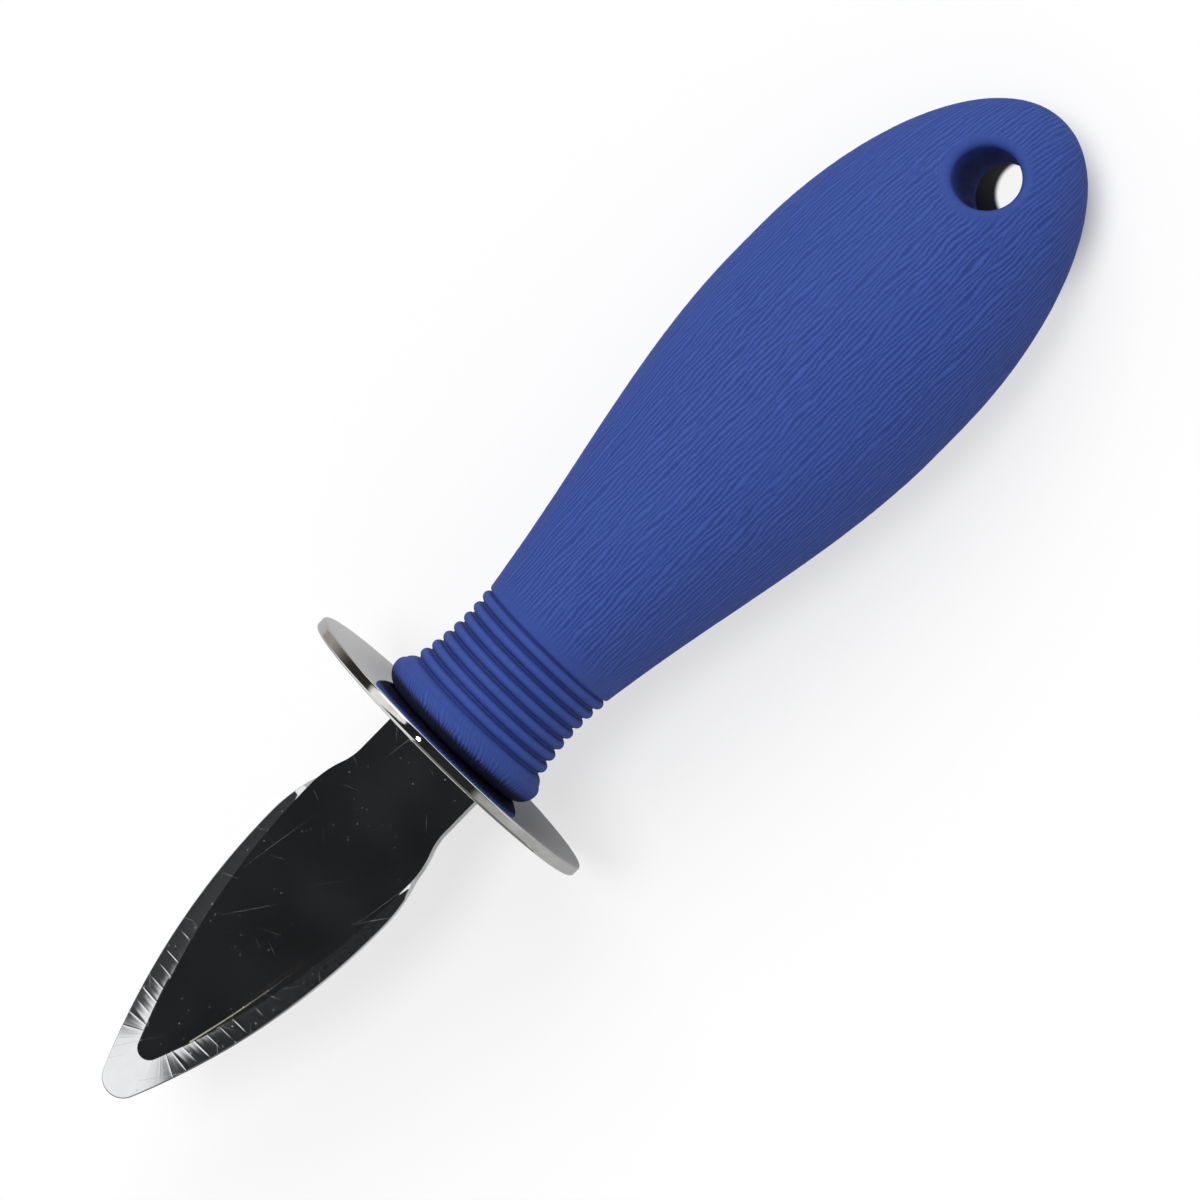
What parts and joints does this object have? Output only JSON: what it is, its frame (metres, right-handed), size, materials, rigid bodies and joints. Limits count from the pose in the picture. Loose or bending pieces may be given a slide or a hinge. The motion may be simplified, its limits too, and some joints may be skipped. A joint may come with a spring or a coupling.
{
  "type": "oyster knife",
  "caption": "Short oyster knife with a leaf-shaped steel blade, a round hand guard and a soft ribbed handle with a hanging hole.",
  "frame": {"origin": "centre of the guard's front face, on the knife's long axis", "axes": "+X along the knife towards the blade's tip, +Z square to the blade's flat and along the hanging hole, +Y across the blade"},
  "size_m": [0.1666, 0.0436, 0.0436],
  "materials": {
    "blade_steel": "mirror polished, with a ground edge and fine scratches",
    "guard_steel": "mirror polished",
    "core_plastic": "moulded, hidden",
    "grip_rubber": "matt soft overmould with a fine lengthwise grain"
  },
  "bodies": {
    "root": {"blade": "blade_steel", "guard": "guard_steel", "handle_core": "core_plastic", "grip": "grip_rubber"}
  },
  "joints": []
}
